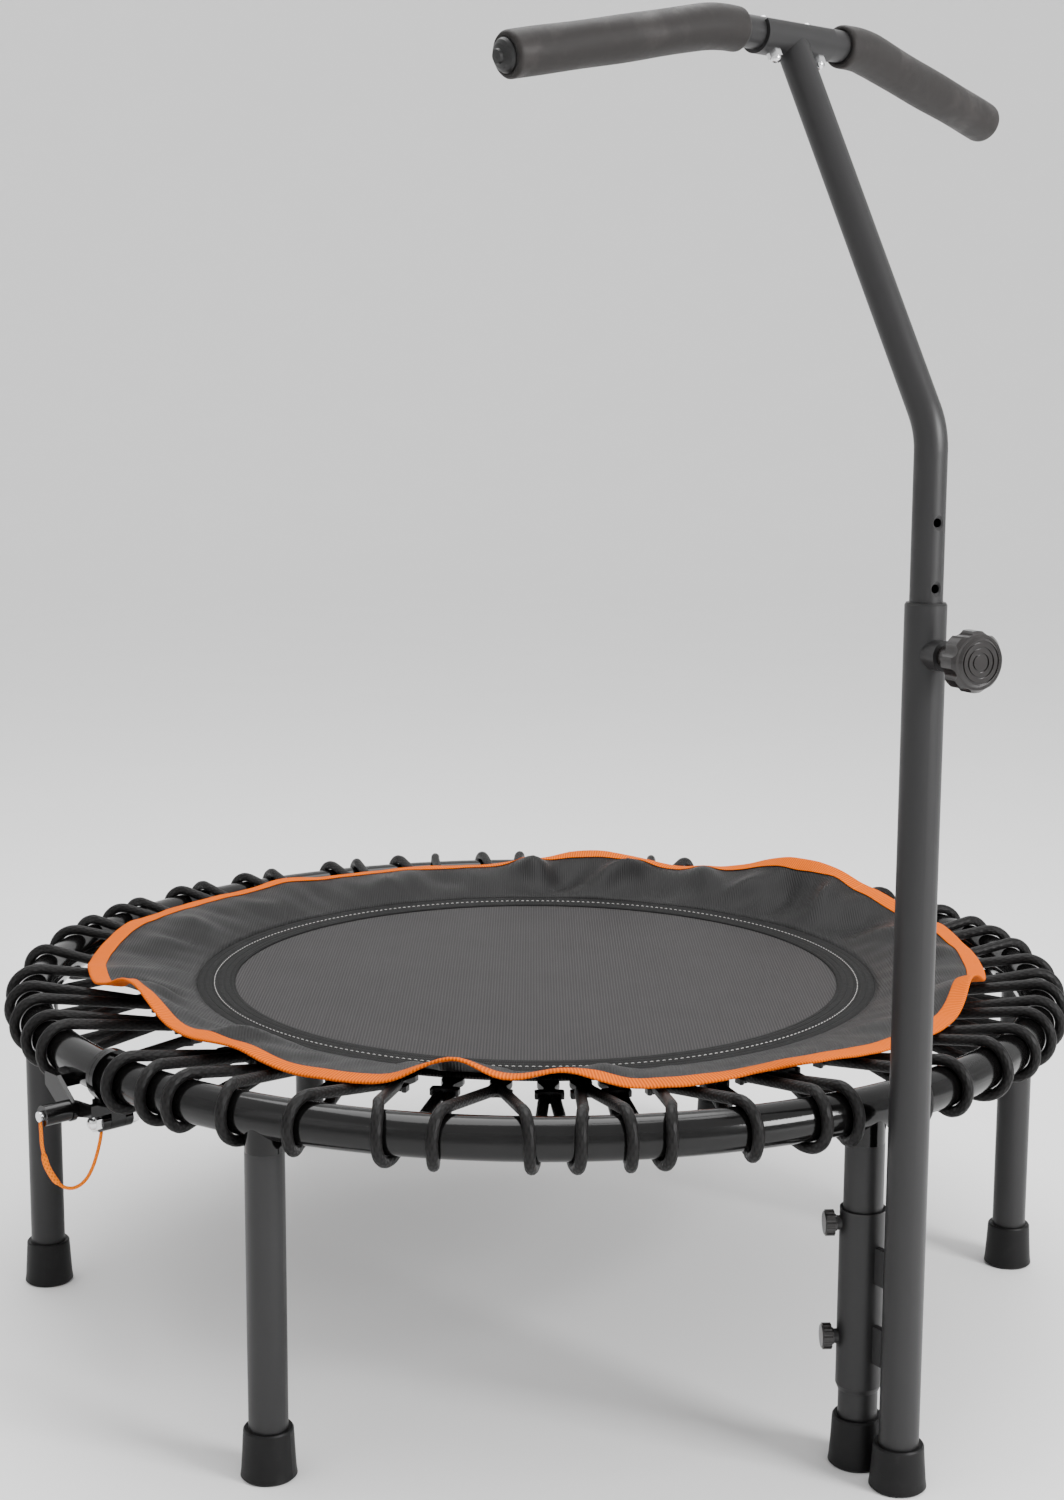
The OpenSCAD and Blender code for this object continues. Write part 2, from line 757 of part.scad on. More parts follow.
// The stem's wall is pressed in round each of its height holes
module stem_tube() {
  dent_r = 9;
  dent_out = stem_r + 6.8;
  heights = [for (k = [-3 : 2]) knob_h + k * hole_pitch];
  color(leg_color) difference() {
    in_stem() stem_solid(stem_r, stem_low, slant_len);
    in_stem() difference() {
      stem_solid(stem_r - stem_wall, stem_low - 1, slant_len + 1);
      for (h = heights) rotate([0, 0, knob_turn - stem_turn])
        translate([0, -dent_out, h]) sphere(r = dent_r + stem_wall);
    }
    at_post() rotate([0, 0, knob_turn]) for (h = heights) {
      translate([0, -dent_out, h]) sphere(r = dent_r);
      translate([0, 0, h]) rotate([90, 0, 0]) cylinder(h = 30, r = hole_r);
    }
    at_saddle() along_x(-saddle_half, saddle_half, saddle_r);
  }
}
module stem_glide() {
  color(rubber_color) at_post() difference() {
    union() {
      translate([0, 0, stem_low - 3]) cylinder(h = 3, r = post_tube_r - post_wall - 0.3);
      translate([0, 0, stem_low - 1]) cylinder(h = 13, r = stem_r - stem_wall);
    }
    translate([0, 0, stem_low - 4]) cylinder(h = 20, r = 8);
  }
}
module handle_saddle() {
  color(frame_color) at_saddle() difference() {
    along_x(-saddle_half, saddle_half, saddle_r);
    along_x(-saddle_half - 1, saddle_half + 1, bar_r);
    translate([-saddle_half - 1, -20, 3]) cube([2 * saddle_half + 2, 40, 20]);
    saddle_bolt_axes() translate([0, 0, -30]) cylinder(h = 60, r = saddle_bolt_r + fit_gap);
  }
}
module handlebar() {
  color(frame_color) difference() {
    at_bar() bar_solid(bar_r, 0);
    at_bar() bar_solid(bar_r - bar_wall, 1);
    at_saddle() saddle_bolt_axes() translate([0, 0, -30]) cylinder(h = 60, r = saddle_bolt_r + fit_gap);
  }
}
module left_grip() {
  color(foam_color) at_bar() mirror([1, 0, 0]) grip_side();
}
module right_grip() {
  color(foam_color) at_bar() grip_side();
}
module left_end_plug() {
  color(rubber_color) at_bar() mirror([1, 0, 0]) plug_side();
}
module right_end_plug() {
  color(rubber_color) at_bar() plug_side();
}
module saddle_bolts() {
  color(chrome_color) at_saddle() saddle_bolt_axes() {
    translate([0, 0, saddle_bolt_low]) cylinder(h = bar_r + 1 - saddle_bolt_low, r = saddle_bolt_r);
    difference() {
      translate([0, 0, bar_r - 1.5]) cylinder(h = 3, r1 = 5.8, r2 = 4.6);
      rotate([0, 90, 0]) translate([0, 0, -20]) cylinder(h = 40, r = bar_r);
    }
  }
}
module saddle_nuts() {
  color(chrome_color) at_saddle() saddle_bolt_axes() difference() {
    union() {
      translate([0, 0, -saddle_r - 5.5]) cylinder(h = 6.5, r = 5.8, $fn = 6);
      translate([0, 0, -saddle_r - 5]) sphere(r = 4.6);
    }
    translate([0, 0, saddle_bolt_low - 0.1]) cylinder(h = 40, r = saddle_bolt_r + fit_gap);
    rotate([0, 90, 0]) translate([0, 0, -20]) cylinder(h = 40, r = saddle_r);
  }
}
module back_half_ring() {
  color(frame_color) at_fold() half_ring();
}
module back_hinge_flanges() {
  color(frame_color) at_fold() at_hinges() back_flange();
}
module back_leg_sockets() {
  color(frame_color) at_frame() to_front() for (a = leg_angles) on_ring(a) leg_socket();
}
module back_leg_studs() {
  color(chrome_color) at_frame() to_front() for (a = leg_angles) on_ring(a) leg_stud();
}
module left_back_leg() {
  color(leg_color) at_frame() on_ring(180 - leg_angles[0]) leg_tube();
}
module rear_leg() {
  color(leg_color) at_frame() on_ring(180) leg_tube();
}
module right_back_leg() {
  color(leg_color) at_frame() on_ring(180 - leg_angles[2]) leg_tube();
}
module back_feet() {
  color(rubber_color) at_frame() to_front() for (a = leg_angles) on_ring(a)
    translate([0, 0, -frame_h]) foot(leg_r, foot_h);
}
module back_mat() {
  color(mat_color) at_fold() half_mat();
}
module back_mat_band() {
  color(skirt_color) at_fold() half_band();
}
module back_skirt() {
  color(skirt_color) at_fold() half_skirt();
}
module back_binding() {
  color(orange_color) at_fold() half_binding();
}
module back_bungees() {
  color(rubber_color) at_fold() half_bungees(back_wraps);
}
module back_mat_hooks() {
  color(rubber_color) at_fold() half_hooks(back_wraps);
}
module hinge_bolts() {
  color(chrome_color) at_fold() at_hinges() hinge_bolt();
}
module hinge_nuts() {
  color(chrome_color) at_fold() at_hinges() hinge_nut();
}
module lock_brackets() {
  color(frame_color) at_fold() at_hinges() lock_bracket();
}
module lock_barrels() {
  color(frame_color) at_fold() at_hinges() lock_barrel();
}
module lock_springs() {
  color(chrome_color) at_fold() at_hinges() lock_spring();
}
module left_lock_pin() {
  color(chrome_color) at_fold() mirror([1, 0, 0]) translate([ring_r, 0, 0]) lock_pin();
}
module right_lock_pin() {
  color(chrome_color) at_fold() translate([ring_r, 0, 0]) lock_pin();
}
module left_lanyard() {
  color(orange_color) at_fold() mirror([1, 0, 0]) translate([ring_r, 0, 0]) lanyard();
}
module right_lanyard() {
  color(orange_color) at_fold() translate([ring_r, 0, 0]) lanyard();
}

front_half_ring();
front_hinge_flanges();
front_leg_sockets();
front_leg_studs();
left_front_leg();
handle_leg();
right_front_leg();
front_feet();
front_mat();
front_mat_band();
front_skirt();
front_binding();
front_bungees();
front_mat_hooks();
post_sleeve();
post_webs();
post_tube();
post_foot();
post_bush();
knob_boss();
screw_bosses();
height_knob();
height_screw();
upper_sleeve_knob();
lower_sleeve_knob();
stem_tube();
stem_glide();
handle_saddle();
handlebar();
left_grip();
right_grip();
left_end_plug();
right_end_plug();
saddle_bolts();
saddle_nuts();
back_half_ring();
back_hinge_flanges();
back_leg_sockets();
back_leg_studs();
left_back_leg();
rear_leg();
right_back_leg();
back_feet();
back_mat();
back_mat_band();
back_skirt();
back_binding();
back_bungees();
back_mat_hooks();
hinge_bolts();
hinge_nuts();
lock_brackets();
lock_barrels();
lock_springs();
left_lock_pin();
right_lock_pin();
left_lanyard();
right_lanyard();
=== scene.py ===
"""Looks of a folding fitness trampoline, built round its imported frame. Metres, +Z up."""
import json
import math

import bpy
import numpy as np
from mathutils import Matrix, Vector


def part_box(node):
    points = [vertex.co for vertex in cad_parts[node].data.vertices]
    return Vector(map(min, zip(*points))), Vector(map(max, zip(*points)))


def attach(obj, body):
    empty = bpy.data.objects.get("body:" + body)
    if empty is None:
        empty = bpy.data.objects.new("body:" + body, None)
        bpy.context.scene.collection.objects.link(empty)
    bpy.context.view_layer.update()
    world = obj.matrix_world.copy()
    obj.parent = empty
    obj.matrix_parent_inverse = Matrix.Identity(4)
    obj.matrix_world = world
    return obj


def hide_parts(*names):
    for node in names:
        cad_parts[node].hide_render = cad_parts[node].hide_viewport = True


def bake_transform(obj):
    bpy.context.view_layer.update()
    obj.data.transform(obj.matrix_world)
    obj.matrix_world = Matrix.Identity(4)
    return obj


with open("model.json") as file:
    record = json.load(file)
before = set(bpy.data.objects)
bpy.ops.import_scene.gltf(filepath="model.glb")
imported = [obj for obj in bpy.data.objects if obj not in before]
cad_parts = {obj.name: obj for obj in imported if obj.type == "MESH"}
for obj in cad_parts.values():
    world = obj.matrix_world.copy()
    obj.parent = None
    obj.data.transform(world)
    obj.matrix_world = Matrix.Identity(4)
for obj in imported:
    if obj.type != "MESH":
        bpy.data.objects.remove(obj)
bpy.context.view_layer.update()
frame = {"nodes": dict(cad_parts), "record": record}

# ---------------------------------------------------------------------------------------------
# Places and sizes, from the frame
# ---------------------------------------------------------------------------------------------
FOLD_TURN = 9        # degrees from +X to the fold line
BAND_IN_R = 0.299
BAND_PAST_SEAM = 0.003


def split_round(front, back):
    """Radius of a round thing that is split in two halves, and the x of its middle."""
    low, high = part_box(back)[0].x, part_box(front)[1].x
    return (high - low) / 2, (high + low) / 2


ring_low, ring_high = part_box("back_half_ring")
tube_r = (ring_high.z - ring_low.z) / 2
ring_out, ring_x = split_round("front_half_ring", "back_half_ring")
ring_r = ring_out - tube_r
centre = Vector((ring_x, ring_high.y - ring_out, (ring_low.z + ring_high.z) / 2))
mat_r = split_round("front_mat", "back_mat")[0]
mat_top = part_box("back_mat")[1].z
seam_r = split_round("front_mat_band", "back_mat_band")[0]
skirt_r = split_round("front_binding", "back_binding")[0]
post_low, post_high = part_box("post_foot")
post_y = (post_low.y + post_high.y) / 2
fold_spin = Matrix.Rotation(math.radians(FOLD_TURN), 3, "Z")


# ---------------------------------------------------------------------------------------------
# Camera
# ---------------------------------------------------------------------------------------------
def make_camera():
    """A 53 mm lens a little over 2 m from the frame, 33 degrees round from the handle's leg."""
    heading, pitch, roll = math.radians(33.4), math.radians(8.99), math.radians(0.28)
    back_off = Vector((-0.005, -2.165, 0.883 - centre.z))
    place = centre + Matrix.Rotation(-heading, 3, "Z") @ back_off
    ahead = Vector((math.sin(heading) * math.cos(pitch), math.cos(heading) * math.cos(pitch),
                    -math.sin(pitch)))
    level = Vector((math.cos(heading), -math.sin(heading), 0))
    upward = level.cross(ahead)
    right = level * math.cos(roll) + upward * math.sin(roll)
    up = upward * math.cos(roll) - level * math.sin(roll)
    data = bpy.data.cameras.new("camera")
    data.lens = 53.24
    data.sensor_width = 36
    data.clip_start = 0.05
    data.clip_end = 100
    camera = bpy.data.objects.new("camera", data)
    turn = Matrix((right, up, -ahead)).transposed().to_4x4()
    camera.matrix_world = Matrix.Translation(place) @ turn
    bpy.context.scene.collection.objects.link(camera)
    bpy.context.scene.camera = camera


# ---------------------------------------------------------------------------------------------
# Shader helpers
# ---------------------------------------------------------------------------------------------
class Shader:
    """A material being built: short calls for the nodes that every material here uses."""

    def __init__(self, name, **sockets):
        self.material = bpy.data.materials.new(name)
        self.material.use_nodes = True
        self.tree = self.material.node_tree
        self.bsdf = self.tree.nodes["Principled BSDF"]
        for socket, value in sockets.items():
            self.bsdf.inputs[socket.replace("_", " ")].default_value = value

    def feed(self, socket, value):
        """Links another node's output to the socket, or sets it to a number or a colour."""
        if isinstance(value, bpy.types.NodeSocket):
            self.tree.links.new(value, socket)
        else:
            socket.default_value = (*value, 1) if isinstance(value, tuple) else value

    def node(self, kind, **inputs):
        """A new node. Its inputs are given by name, or as i0, i1 and so on by number."""
        made = self.tree.nodes.new(kind)
        for name, value in inputs.items():
            numbered = name[0] == "i" and name[1:].isdigit()
            self.feed(made.inputs[int(name[1:]) if numbered else name], value)
        return made

    def place(self, uv=False):
        """The place on the piece: its own coordinates, or its UV in metres."""
        coordinates = self.tree.nodes.new("ShaderNodeTexCoord")
        return coordinates.outputs["UV" if uv else "Object"]

    def math(self, operation, a, b=0.0):
        made = self.node("ShaderNodeMath", i0=a, i1=b)
        made.operation = operation
        return made.outputs[0]

    def noise(self, scale, detail=3.0, rough=0.55, where=None):
        made = self.node("ShaderNodeTexNoise", Vector=where or self.place(), Scale=scale, Detail=detail,
                         Roughness=rough)
        return made.outputs["Fac"]

    def split(self, where):
        made = self.node("ShaderNodeSeparateXYZ", Vector=where)
        return made.outputs[0], made.outputs[1], made.outputs[2]

    def half_sine(self, turn):
        """A sine wave between 0 and 1."""
        wave = self.math("SINE", turn)
        return self.math("ADD", self.math("MULTIPLY", wave, 0.5), 0.5)

    def ribs(self, along, pitch):
        """A wave between 0 and 1 with a crest every pitch metres of along."""
        return self.half_sine(self.math("MULTIPLY", along, 2 * math.pi / pitch))

    def step(self, factor, low, high):
        """Black where the factor is under low, white over high, and grey between them."""
        made = self.tree.nodes.new("ShaderNodeValToRGB")
        self.feed(made.inputs[0], factor)
        for element, at, shade in zip(made.color_ramp.elements, (low, high), (0, 1)):
            element.position = at
            element.color = (shade, shade, shade, 1)
        return made.outputs["Color"]

    def mix(self, factor, a, b, blend="MIX"):
        made = self.tree.nodes.new("ShaderNodeMix")
        made.data_type = "RGBA"
        made.blend_type = blend
        for index, value in ((0, factor), (6, a), (7, b)):
            self.feed(made.inputs[index], value)
        return made.outputs[2]

    def grey(self, factor, low, high):
        """The factor, from 0 to 1, spread from low to high."""
        made = self.node("ShaderNodeMapRange", Value=factor)
        made.inputs["To Min"].default_value = low
        made.inputs["To Max"].default_value = high
        return made.outputs[0]

    def bump(self, height, distance, strength, normal=None):
        made = self.node("ShaderNodeBump", Height=height, Distance=distance, Strength=strength)
        if normal is not None:
            self.feed(made.inputs["Normal"], normal)
        return made.outputs[0]

    def set(self, colour, rough=None, normal=None):
        """Joins what is given to the surface, and returns the finished material."""
        for name, value in (("Base Color", colour), ("Roughness", rough), ("Normal", normal)):
            if value is not None:
                self.feed(self.bsdf.inputs[name], value)
        return self.material


# ---------------------------------------------------------------------------------------------
# Materials
# ---------------------------------------------------------------------------------------------
RIB_HEADING = math.radians(56.6)
WEAVE_DENT = 0.0004


def gloss_paint():
    """Shiny black paint of the frame tube."""
    s = Shader("gloss_black_paint", Specular_IOR_Level=0.24, Coat_Weight=0.1, Coat_Roughness=0.06)
    wide, fine = s.noise(9, 3), s.noise(520, 2)
    colour = s.mix(wide, (0.0015, 0.0014, 0.0014), (0.0035, 0.0033, 0.0033))
    rough = s.math("ADD", s.grey(wide, 0.08, 0.16), s.grey(fine, -0.02, 0.03))
    return s.set(colour, rough, s.bump(fine, 0.00012, 0.35))


def satin_paint():
    """Dark grey powder paint of the legs and the handle."""
    s = Shader("satin_charcoal_paint", Specular_IOR_Level=0.3)
    wide, fine = s.noise(7, 3), s.noise(1400, 2)
    colour = s.mix(wide, (0.0115, 0.0113, 0.0117), (0.0165, 0.0162, 0.0166))
    colour = s.mix(s.grey(fine, 0, 0.35), colour, (0.030, 0.0294, 0.030))
    rough = s.math("ADD", s.grey(wide, 0.34, 0.44), s.grey(fine, -0.05, 0.08))
    return s.set(colour, rough, s.bump(fine, 0.00015, 0.5))


def rubber():
    """Moulded rubber with light scuffs."""
    s = Shader("moulded_rubber", Specular_IOR_Level=0.2)
    wide, fine = s.noise(30, 4), s.noise(1100, 3)
    scuffs = s.step(s.noise(60, 8, 0.7), 0.56, 0.75)
    colour = s.mix(wide, (0.003, 0.0029, 0.003), (0.006, 0.0058, 0.006))
    colour = s.mix(s.grey(scuffs, 0, 0.4), colour, (0.02, 0.0195, 0.0195))
    rough = s.math("ADD", s.grey(wide, 0.42, 0.56), s.grey(scuffs, 0, 0.12))
    return s.set(colour, rough, s.bump(fine, 0.00015, 0.5))


def knob_plastic():
    """Shiny black plastic, a little warm."""
    s = Shader("glossy_plastic", Specular_IOR_Level=0.45, Coat_Weight=0.15, Coat_Roughness=0.1)
    wide, fine = s.noise(40, 4), s.noise(900, 2)
    colour = s.mix(wide, (0.006, 0.005, 0.0048), (0.012, 0.0095, 0.009))
    rough = s.math("ADD", s.grey(wide, 0.17, 0.32), s.grey(fine, -0.02, 0.03))
    return s.set(colour, rough, s.bump(fine, 0.00008, 0.3))


def satin_plastic():
    """Black plastic of the hooks and the bush."""
    s = Shader("satin_plastic", Specular_IOR_Level=0.3)
    wide, fine = s.noise(35, 4), s.noise(1300, 2)
    colour = s.mix(wide, (0.005, 0.005, 0.005), (0.011, 0.011, 0.011))
    return s.set(colour, s.grey(wide, 0.33, 0.5), s.bump(fine, 0.0001, 0.45))


def foam():
    """Closed-cell foam: small pores, handled patches that shine, and soft lumps."""
    s = Shader("closed_cell_foam", Specular_IOR_Level=0.22, Sheen_Weight=0.04, Sheen_Roughness=0.6)
    lumps, blotch, pores = s.noise(22, 3), s.noise(45, 6, 0.62), s.noise(1500, 3, 0.7)
    colour = s.mix(blotch, (0.0085, 0.0073, 0.0069), (0.0165, 0.0141, 0.0132))
    worn = s.step(s.noise(26, 6, 0.66), 0.5, 0.64)
    colour = s.mix(s.grey(worn, 0, 0.45), colour, (0.028, 0.0235, 0.022))
    rough = s.math("ADD", s.grey(blotch, 0.5, 0.7), s.grey(worn, 0.0, -0.14))
    normal = s.bump(pores, 0.0003, 0.55, s.bump(lumps, 0.003, 0.35))
    return s.set(colour, rough, normal)


def bright_steel():
    """Plated bolts, nuts and pins."""
    s = Shader("bright_plated_steel", Metallic=1.0)
    wide = s.noise(70, 5)
    colour = s.mix(wide, (0.55, 0.55, 0.56), (0.80, 0.80, 0.81))
    return s.set(colour, s.grey(wide, 0.1, 0.3), s.bump(s.noise(400, 3), 0.0001, 0.3))


def woven(name, dark, light, pitch, rough_low, rough_high, **sockets):
    """Ribbed woven cloth, with its UV in metres and its ribs along RIB_HEADING. Its colour is dark in the
    valleys between the ribs and light on their crests: painted shade and painted highlight.
    """
    s = Shader(name, **sockets)
    x, y, _ = s.split(s.place(uv=True))
    c, n = math.cos(RIB_HEADING), math.sin(RIB_HEADING)
    over_ribs = s.math("ADD", s.math("MULTIPLY", x, -n), s.math("MULTIPLY", y, c))
    along_ribs = s.math("ADD", s.math("MULTIPLY", x, c), s.math("MULTIPLY", y, n))
    rib = s.ribs(over_ribs, pitch)
    weft = s.ribs(along_ribs, 0.55 * pitch)
    height = s.math("MULTIPLY", rib, s.grey(weft, 0.7, 1.0))
    cloudy = s.noise(11, 4, 0.6, s.place(uv=True))
    fleck = s.noise(700, 2, 0.6, s.place(uv=True))
    # painted shade and painted highlight: dark colour in the rib valleys, light colour on the rib crests
    colour = s.mix(height, dark, light)
    shade = s.math("ADD", s.grey(cloudy, 0.86, 1.1), s.grey(fleck, -0.12, 0.12))
    tint = s.node("ShaderNodeCombineColor", i0=shade, i1=shade, i2=shade).outputs[0]
    colour = s.mix(1.0, colour, tint, "MULTIPLY")
    rough = s.grey(cloudy, rough_low, rough_high)
    return s.set(colour, rough, s.bump(height, WEAVE_DENT, 0.7))


def webbing():
    """Black webbing in a ring: UV x runs round it in metres and y across it. Its colour is light on the
    ribs' crests and dark in the grooves between its rows: painted highlight and painted shade, with lighter
    worn patches.
    """
    s = Shader("black_webbing", Specular_IOR_Level=0.1, Sheen_Weight=0.02, Sheen_Roughness=0.5)
    x, y, _ = s.split(s.place(uv=True))
    rib = s.ribs(x, 0.0022)
    rows = s.step(s.ribs(y, 0.0063), 0.0, 0.25)
    worn = s.noise(160, 5, 0.65, s.place(uv=True))
    # painted highlight and painted shade: light on the rib crests, and darkest in the grooves between the
    # rows
    colour = s.mix(rib, (0.0016, 0.0016, 0.0016), (0.004, 0.004, 0.004))
    colour = s.mix(s.grey(rows, 0.7, 0.0), colour, (0.002, 0.002, 0.002))
    colour = s.mix(s.grey(worn, -0.1, 0.35), colour, (0.009, 0.0088, 0.0088))
    height = s.math("ADD", s.math("MULTIPLY", rib, 0.35), rows)
    return s.set(colour, s.grey(worn, 0.55, 0.8), s.bump(height, 0.0006, 0.8))


def binding_cloth():
    """Orange tape with fine ribs across it: UV x runs along it in metres. Its colour is light on the ribs'
    crests and dark between them: painted highlight and painted shade.
    """
    s = Shader("orange_tape", Specular_IOR_Level=0.04)
    along, _, _ = s.split(s.place(uv=True))
    rib = s.ribs(along, 0.0030)
    cloudy = s.noise(50, 4, 0.6, s.place(uv=True))
    # painted highlight and painted shade: light orange on the rib crests, dark orange between them
    colour = s.mix(rib, (0.50, 0.075, 0.0), (0.84, 0.165, 0.0))
    colour = s.mix(s.grey(cloudy, 0, 0.3), colour, (0.56, 0.085, 0.0))
    return s.set(colour, s.grey(cloudy, 0.55, 0.75), s.bump(rib, 0.0007, 0.8))


def braid(name, dark, light, turns, pitch, rough, **sockets):
    """Braided cord: UV x goes once round from 0 to 1, and y is metres along it. Its colour darkens in the
    braid's valleys, taken from the product of the two strand waves: painted shade.
    """
    s = Shader(name, **sockets)
    x, y, _ = s.split(s.place(uv=True))
    round_it = s.math("MULTIPLY", x, 2 * math.pi * turns)
    along = s.math("MULTIPLY", y, 2 * math.pi / pitch)
    right = s.half_sine(s.math("ADD", round_it, along))
    left = s.half_sine(s.math("SUBTRACT", round_it, along))
    height = s.math("MAXIMUM", right, left)
    # painted shade: the product of the two strand waves marks the braid's valleys, which are darkened below
    valley_shade = s.math("MULTIPLY", right, left)
    fuzz = s.noise(900, 3, 0.7)
    colour = s.mix(valley_shade, light, dark)
    colour = s.mix(s.grey(fuzz, -0.15, 0.4), colour, light)
    return s.set(colour, s.grey(fuzz, rough - 0.1, rough + 0.1), s.bump(height, WEAVE_DENT, 0.7))


def white_thread():
    s = Shader("white_thread", Specular_IOR_Level=0.3, Sheen_Weight=0.2)
    fine = s.noise(2000, 2)
    colour = s.mix(fine, (0.36, 0.35, 0.34), (0.68, 0.67, 0.65))
    return s.set(colour, s.grey(fine, 0.6, 0.8), s.bump(fine, 0.0001, 0.4))


MATERIALS = {
    "frame_gloss": gloss_paint(),
    "leg_satin": satin_paint(),
    "foot_rubber": rubber(),
    "knob_plastic": knob_plastic(),
    "bush_plastic": satin_plastic(),
    "bright_steel": bright_steel(),
    "foam_grip": foam(),
    # For mat_weave and skirt_mesh the first colour is the painted shade of the weave's valleys and the
    # second the painted highlight of its crests
    "mat_weave": woven("mat_weave", (0.010, 0.0092, 0.0094), (0.047, 0.0435, 0.0445),
                       0.0028, 0.5, 0.62, Specular_IOR_Level=0.16),
    "band_webbing": webbing(),
    "skirt_mesh": woven("skirt_mesh", (0.0016, 0.0015, 0.0015), (0.0068, 0.0063, 0.0065),
                        0.0026, 0.34, 0.46, Specular_IOR_Level=0.15),
    "binding_tape": binding_cloth(),
    # For elastic_cord and lanyard_cord the first colour is the painted shade of the braid's valleys
    "elastic_cord": braid("braided_elastic", (0.0005, 0.0005, 0.0005), (0.0085, 0.0080, 0.0080),
                          7, 0.009, 0.46, Specular_IOR_Level=0.16),
    "lanyard_cord": braid("orange_braid", (0.42, 0.075, 0.0), (0.88, 0.20, 0.0),
                          4, 0.004, 0.55, Specular_IOR_Level=0.06),
    "white_thread": white_thread(),
}
MATERIALS["hook_plastic"] = MATERIALS["bush_plastic"]


def finish_cad_nodes():
    """Gives every CAD node the material of its slot in the record."""
    for part in frame["record"]["subparts"]:
        node = frame["nodes"][part["node"]]
        node.data.materials.clear()
        node.data.materials.append(MATERIALS[part["material_slot"]])


# ---------------------------------------------------------------------------------------------
# Mesh helpers
# ---------------------------------------------------------------------------------------------
def mesh_piece(name, points, faces, slot, uv=None, material=None, smooth=True):
    """A mesh object from points and faces. uv gives each point's UV, or each face's list of them."""
    mesh = bpy.data.meshes.new(name)
    mesh.from_pydata([tuple(p) for p in points], [], [tuple(int(i) for i in f) for f in faces])
    mesh.update()
    mesh.polygons.foreach_set("use_smooth", [smooth] * len(mesh.polygons))
    if uv is not None:
        layer = mesh.uv_layers.new(name="UVMap")
        loop_uv = np.zeros((len(mesh.loops), 2), np.float32)
        if len(uv) == len(points):
            index = np.zeros(len(mesh.loops), np.int32)
            mesh.loops.foreach_get("vertex_index", index)
            loop_uv[:] = np.asarray(uv, np.float32)[index]
        else:
            loop_uv[:] = np.asarray(uv, np.float32)
        layer.data.foreach_set("uv", loop_uv.ravel())
    piece = bpy.data.objects.new(name, mesh)
    bpy.context.scene.collection.objects.link(piece)
    mesh.materials.append(material or MATERIALS[slot])
    return piece


def smooth_line(points, step):
    """A Catmull-Rom line through the points, sampled about every step metres."""
    p = np.asarray(points, float)
    p = np.vstack([2 * p[0] - p[1], p, 2 * p[-1] - p[-2]])
    out = []
    for a, b, c, d in zip(p[:-3], p[1:-2], p[2:-1], p[3:]):
        count = max(1, round(np.linalg.norm(c - b) / step))
        for k in range(count):
            t = k / count
            out.append(0.5 * ((2 * b) + (c - a) * t + (2 * a - 5 * b + 4 * c - d) * t ** 2
                              + (3 * b - a - 3 * c + d) * t ** 3))
    return np.array(out + [p[-2]])


def frames_along(line):
    """Two directions square to the line at each of its points, turned as little as possible."""
    ahead = np.gradient(line, axis=0)
    ahead /= np.linalg.norm(ahead, axis=1)[:, None]
    start = np.array([0, 0, 1.0]) if abs(ahead[0][2]) < 0.9 else np.array([1.0, 0, 0])
    side = np.cross(start, ahead[0])
    side /= np.linalg.norm(side)
    sides = [side]
    for d in ahead[1:]:
        side = side - d * np.dot(side, d)
        side /= np.linalg.norm(side)
        sides.append(side)
    sides = np.array(sides)
    return sides, np.cross(ahead, sides)


def tube_faces(count, sides, start=0):
    """The faces that join count rings of points, one ring after the other."""
    faces = []
    for here in range(start, start + (count - 1) * sides, sides):
        for j in range(sides):
            n = (j + 1) % sides
            faces.append((here + j, here + n, here + sides + n, here + sides + j))
    return faces


def disc_faces(inner, outer, count):
    """The faces between two rings of count points, given the index at which each one starts."""
    return [(inner + k, outer + k, outer + (k + 1) % count, inner + (k + 1) % count) for k in range(count)]


def tube_mesh(line, radius, sides, start=0):
    """Points, faces and loop UVs of a closed round tube; radius is a number or one for each point."""
    side, up = frames_along(line)
    count = len(line)
    radius = np.broadcast_to(np.asarray(radius, float), (count,))
    turn = np.arange(sides) * 2 * math.pi / sides
    ring = np.cos(turn)[None, :, None] * side[:, None] + np.sin(turn)[None, :, None] * up[:, None]
    points = (line[:, None] + radius[:, None, None] * ring).reshape(-1, 3)
    along = np.concatenate([[0], np.cumsum(np.linalg.norm(np.diff(line, axis=0), axis=1))])
    faces, uv = tube_faces(count, sides, start), []
    for here, ahead in zip(along[:-1], along[1:]):
        for j in range(sides):
            left, right = j / sides, (j + 1) / sides
            uv += [(left, here), (right, here), (right, ahead), (left, ahead)]
    last = start + (count - 1) * sides
    faces += [tuple(reversed(range(start, start + sides))), tuple(range(last, last + sides))]
    uv += [(0.5, 0)] * sides + [(0.5, along[-1])] * sides
    return points, faces, uv


def tube_piece(name, lines, radius, sides, slot, material=None):
    """One piece of several round tubes."""
    points, faces, uv = [], [], []
    for line in lines:
        p, f, u = tube_mesh(np.asarray(line), radius, sides, len(points))
        points += list(p)
        faces += f
        uv += u
    return mesh_piece(name, points, faces, slot, uv, material)


def polar(radius, angle, height):
    """A point round the frame's middle: angle in degrees from +X, height over the frame tube's centre."""
    a = math.radians(angle)
    return np.array([centre.x + radius * math.cos(a), centre.y + radius * math.sin(a), centre.z + height])


# ---------------------------------------------------------------------------------------------
# Lanyards of the lock pins
# ---------------------------------------------------------------------------------------------
# The cord's route at the right lock, in millimetres: out from the frame tube's centre line, along
# that line, and up from it
LANYARD = [
    (60, 18, -32.5), (60, 18, -38), (60, 17.5, -44), (60, 17, -52), (59, 16, -61), (57.5, 15, -70),
    (54.5, 13.5, -78), (50, 12, -86), (44, 10.5, -92), (37, 9, -94.5), (30, 7.5, -93), (24, 6, -88),
    (19.5, 4.5, -80), (16.5, 3, -71), (14.5, 1.5, -62), (13, 0.5, -54), (12, 0, -47.2),
]
LANYARD_D = 0.003
SLEEVE_SPAN = (0.22, 0.46)   # where the sleeve starts and ends, as shares of the cord


